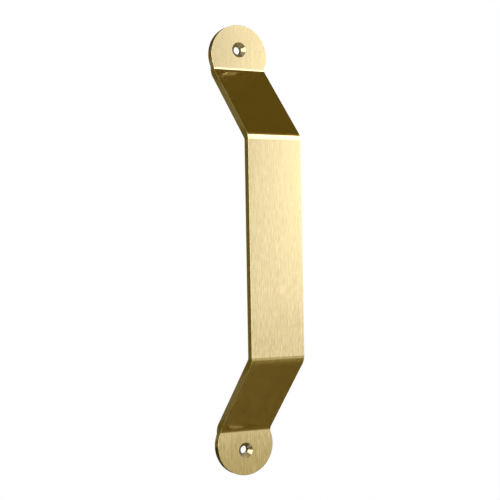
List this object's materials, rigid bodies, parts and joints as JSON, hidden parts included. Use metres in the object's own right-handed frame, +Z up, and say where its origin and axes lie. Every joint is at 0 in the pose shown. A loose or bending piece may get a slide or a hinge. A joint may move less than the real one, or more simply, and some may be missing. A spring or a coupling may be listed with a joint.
{
  "type": "sliding barn door pull",
  "caption": "Flat brass bar folded into a grip that stands off a sliding door, with a round tab and a countersunk screw hole at each end.",
  "frame": {"origin": "on the door's face, midway between the two screw holes", "axes": "+Z up along the pull's length, +Y into the door, -Y out towards the hand, +X to the right seen from the front"},
  "size_m": [0.038, 0.05, 0.28],
  "materials": {
    "brushed_brass": "brushed along the bar"
  },
  "bodies": {
    "root": {"pull_bar": "brushed_brass"}
  },
  "joints": []
}
